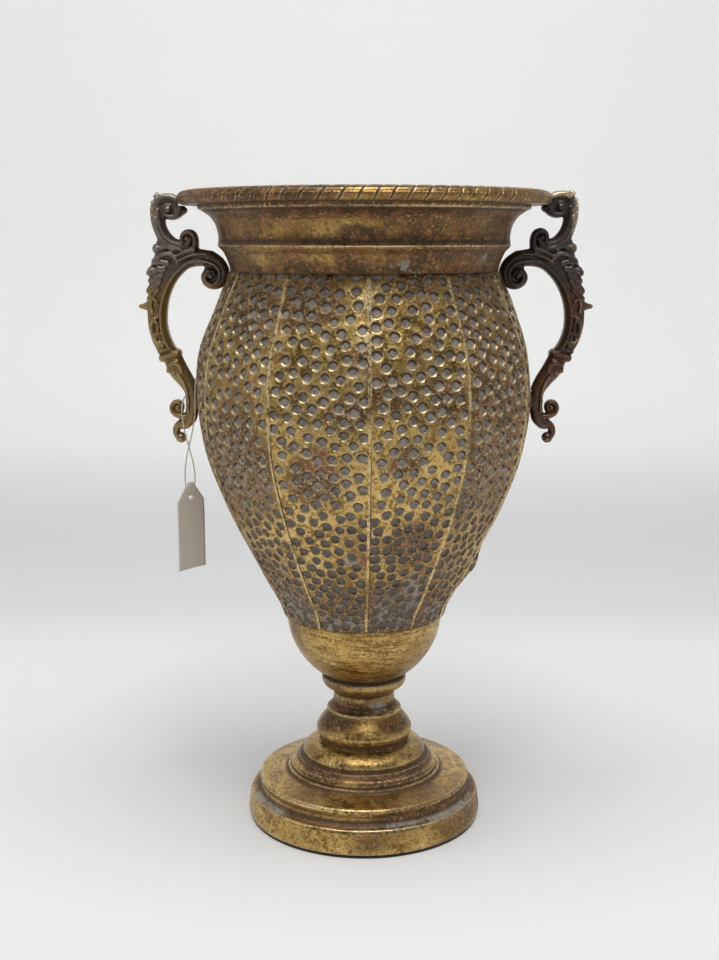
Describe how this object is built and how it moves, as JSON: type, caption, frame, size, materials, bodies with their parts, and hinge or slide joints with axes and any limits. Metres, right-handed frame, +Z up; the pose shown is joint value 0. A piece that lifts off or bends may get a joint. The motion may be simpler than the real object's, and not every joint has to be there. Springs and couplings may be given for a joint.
{
  "type": "urn vase",
  "caption": "Footed metal urn vase with a punched panel body, turned stem, flared collar, rope rim, scroll handles and a hang tag on a string.",
  "frame": {"origin": "on the vase's axis, on the surface that the foot stands on", "axes": "+Z up along the vase's axis, the front faces -Y, the handles lie along X"},
  "size_m": [0.279, 0.2274, 0.4001],
  "materials": {
    "panel_metal": "antiqued gold leaf over punched sheet iron, grey in the dimples",
    "turned_metal": "antiqued gold leaf, rubbed bright on the edges, brown in the hollows",
    "rope_metal": "antiqued gold leaf with dark cuts between the strands",
    "handle_metal": "dark bronze patina with gold rubbed on the high places",
    "steel": "plain zinc-plated steel",
    "felt": "black pressed felt",
    "tag_paper": "uncoated grey-beige card",
    "tag_string": "twisted cotton string"
  },
  "bodies": {
    "urn": {"foot_pad": "felt", "foot": "turned_metal", "stem_bulb": "turned_metal", "stem_neck": "turned_metal", "neck_ring": "turned_metal", "bowl": "turned_metal", "panel_01": "panel_metal", "panel_02": "panel_metal", "panel_03": "panel_metal", "panel_04": "panel_metal", "panel_05": "panel_metal", "panel_06": "panel_metal", "panel_07": "panel_metal", "panel_08": "panel_metal", "panel_09": "panel_metal", "panel_10": "panel_metal", "panel_11": "panel_metal", "collar": "turned_metal", "rim_band": "turned_metal", "rope_rim": "rope_metal", "handle_left": "handle_metal", "handle_right": "handle_metal", "tie_rod": "steel", "tie_washers": "steel", "tie_nuts": "steel", "handle_screws": "steel", "handle_washers": "steel", "tag_loop": "tag_string"},
    "tag_string": {"tag_cord": "tag_string"},
    "tag": {"tag_card": "tag_paper"}
  },
  "joints": [
    {"name": "tag_swing", "type": "hinge", "parent": "urn", "child": "tag_string", "pos_m": [-0.1093, -0.009, 0.2641], "axis": [1, 0, 0], "range_deg": [-60, 8]},
    {"name": "tag_turn", "type": "hinge", "parent": "tag_string", "child": "tag", "pos_m": [-0.1093, -0.009, 0.2127], "axis": [0, 0, 1], "range_deg": [-35, 35]}
  ]
}
